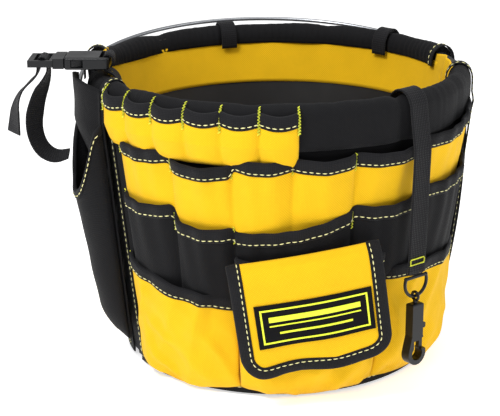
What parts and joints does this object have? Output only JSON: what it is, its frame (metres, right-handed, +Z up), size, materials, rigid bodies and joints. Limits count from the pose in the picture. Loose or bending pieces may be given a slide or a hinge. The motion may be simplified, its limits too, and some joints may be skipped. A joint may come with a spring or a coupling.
{
  "type": "tool bucket organizer",
  "caption": "Round bucket with a bail and a fabric skirt of bound pockets, a lidded front pocket, a side holster, a buckle and a snap hook.",
  "frame": {"origin": "centre of the bucket's base", "axes": "+Z up the bucket axis; +X through the right ear; -Y towards the lidded pocket"},
  "size_m": [0.4357, 0.3907, 0.2963],
  "materials": {
    "bucket_plastic": "satin",
    "bail_steel": "satin",
    "yellow_fabric": "woven",
    "black_fabric": "woven",
    "black_binding": "ribbed",
    "black_webbing": "ribbed",
    "black_plastic": "satin",
    "label_patch": "matte",
    "tape_pile": "pile",
    "spring_steel": "satin"
  },
  "bodies": {
    "root": {"bucket": "bucket_plastic", "base_panel_front": "black_fabric", "base_panel_rear": "black_fabric", "rim_roll_front": "black_fabric", "rim_roll_rear": "black_fabric", "inner_band_front": "yellow_fabric", "inner_band_rear": "yellow_fabric", "upper_loop_fabric": "yellow_fabric", "upper_loop_binding": "black_binding", "middle_pocket_fabric": "yellow_fabric", "middle_pocket_binding": "black_binding", "black_pocket_fabric": "black_fabric", "black_pocket_binding": "black_binding", "lower_pocket_fabric": "yellow_fabric", "lower_pocket_binding": "black_binding", "lid_pocket_fabric": "yellow_fabric", "lid_pocket_binding": "black_binding", "loop_tape": "tape_pile", "rear_upper_pocket_fabric": "black_fabric", "rear_upper_pocket_binding": "black_binding", "rear_lower_pocket_fabric": "yellow_fabric", "rear_lower_pocket_binding": "black_binding", "front_edge_binding_left": "black_binding", "front_edge_binding_right": "black_binding", "rear_edge_binding_left": "black_binding", "rear_edge_binding_right": "black_binding", "rear_roll_binding_left": "black_binding", "rear_roll_binding_right": "black_binding", "hem_binding_front": "black_binding", "hem_binding_rear": "black_binding", "holster_front": "black_fabric", "holster_binding": "black_binding", "holster_back": "black_fabric", "anchor_strap": "black_webbing", "buckle_socket": "black_plastic", "hanger_strap": "black_webbing", "hanger_end_bar": "black_plastic", "rear_strap_left": "black_webbing", "rear_strap_right": "black_webbing"},
    "bail": {"bail_wire": "bail_steel"},
    "flap": {"lid_flap": "yellow_fabric", "lid_flap_binding": "black_binding", "label_patch": "label_patch", "hook_tape": "tape_pile"},
    "plug": {"buckle_plug": "black_plastic", "buckle_prongs": "black_plastic", "adjuster_strap": "black_webbing"},
    "ring": {"d_ring": "black_plastic"},
    "eye": {"swivel_eye": "black_plastic"},
    "hook": {"snap_hook": "black_plastic", "bolt_spring": "spring_steel"},
    "bolt": {"hook_bolt": "black_plastic"}
  },
  "joints": [
    {"name": "bail_swing", "type": "hinge", "parent": "root", "child": "bail", "pos_m": [0, 0, 0.255], "axis": [1, 0, 0], "range_deg": [0, 90]},
    {"name": "flap_hinge", "type": "hinge", "parent": "root", "child": "flap", "pos_m": [-0.01644, -0.17724, 0.147], "axis": [-0.986, 0.0915, -0.1392], "range_deg": [0, 115]},
    {"name": "buckle_release", "type": "slide", "parent": "root", "child": "plug", "axis": [-0.9781, 0.2079, 0], "range_m": [0, 0.034], "deforming": ["buckle_prongs", "adjuster_strap"]},
    {"name": "ring_swing", "type": "hinge", "parent": "root", "child": "ring", "pos_m": [0.08727, -0.16764, 0.1146], "axis": [-0.887, -0.4617, 0], "range_deg": [0, 90]},
    {"name": "eye_swing", "type": "hinge", "parent": "ring", "child": "eye", "pos_m": [0.08727, -0.16764, 0.0966], "axis": [-0.887, -0.4617, 0], "range_deg": [0, 60]},
    {"name": "hook_swivel", "type": "hinge", "parent": "eye", "child": "hook", "pos_m": [0.08727, -0.16764, 0.087], "axis": [0, 0, 1], "continuous": true},
    {"name": "bolt_slide", "type": "slide", "parent": "hook", "child": "bolt", "axis": [0, 0, 1], "range_m": [0, 0.006], "stiffness_N_per_m": 150, "springref_m": -0.004, "deforming": ["bolt_spring"]}
  ]
}
